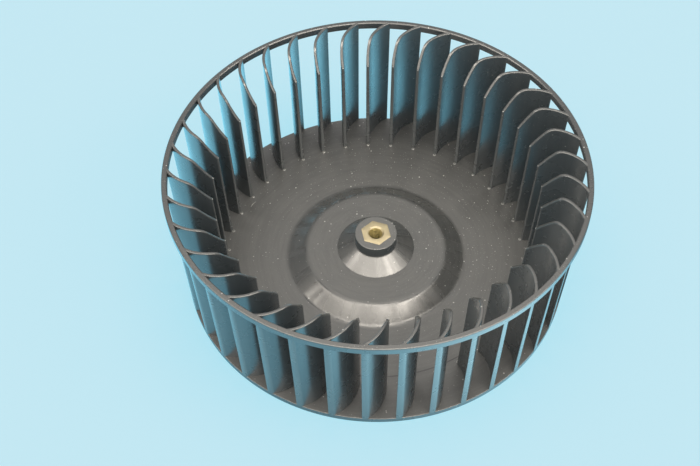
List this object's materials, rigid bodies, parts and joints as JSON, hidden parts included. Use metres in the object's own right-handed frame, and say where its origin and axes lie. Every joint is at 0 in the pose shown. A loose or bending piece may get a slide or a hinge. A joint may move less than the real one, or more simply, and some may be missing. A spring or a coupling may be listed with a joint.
{
  "type": "blower wheel",
  "caption": "Forward curved centrifugal fan wheel for a range hood: closed back plate with raised hub, curved blades tied by a top ring, brass hexagonal insert with a threaded bore.",
  "frame": {"origin": "on the wheel's axis, in the plane of the flat underside of the back plate", "axes": "+Z along the axis of rotation, from the closed back plate to the open eye; +X to the right in the picture's view"},
  "size_m": [0.21, 0.21, 0.0744],
  "materials": {
    "wheel_plastic": "satin, as moulded",
    "insert_brass": "turned"
  },
  "bodies": {
    "root": {"blower_wheel": "wheel_plastic", "hub_insert": "insert_brass"}
  },
  "joints": []
}
